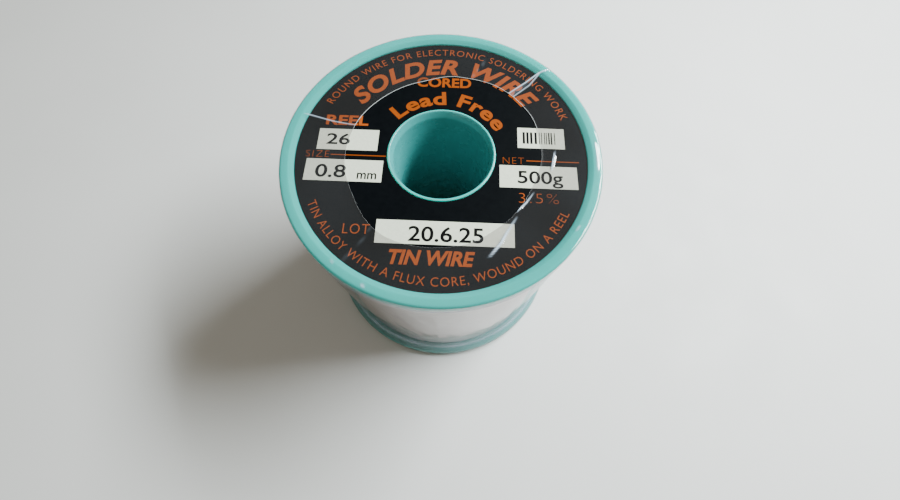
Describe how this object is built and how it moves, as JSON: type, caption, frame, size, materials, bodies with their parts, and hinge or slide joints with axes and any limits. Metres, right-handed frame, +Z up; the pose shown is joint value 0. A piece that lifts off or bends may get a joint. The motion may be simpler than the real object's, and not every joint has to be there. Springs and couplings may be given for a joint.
{
  "type": "solder wire spool",
  "caption": "Sealed reel of thin solder wire: moulded plastic flanges on a hollow barrel, a wound silver wire pack, round face labels and a clear shrink film.",
  "frame": {"origin": "centre of the flat face that the spool stands on", "axes": "+Z up along the spool's axis, towards the printed top label; +X to the right and +Y to the back as the label reads"},
  "size_m": [0.0676, 0.0676, 0.0584],
  "materials": {
    "reel_plastic": "smooth moulded, satin gloss",
    "label_print": "printed black, semi-gloss",
    "solder_wire": "drawn tin alloy, satin",
    "tape": "matt adhesive tape",
    "film": "clear, glossy, wrinkled"
  },
  "bodies": {
    "root": {"upper_spool_half": "reel_plastic", "lower_spool_half": "reel_plastic", "top_label": "label_print", "bottom_label": "label_print", "solder_winding": "solder_wire", "wire_start_tail": "solder_wire", "end_tape": "tape", "shrink_film": "film"}
  },
  "joints": []
}
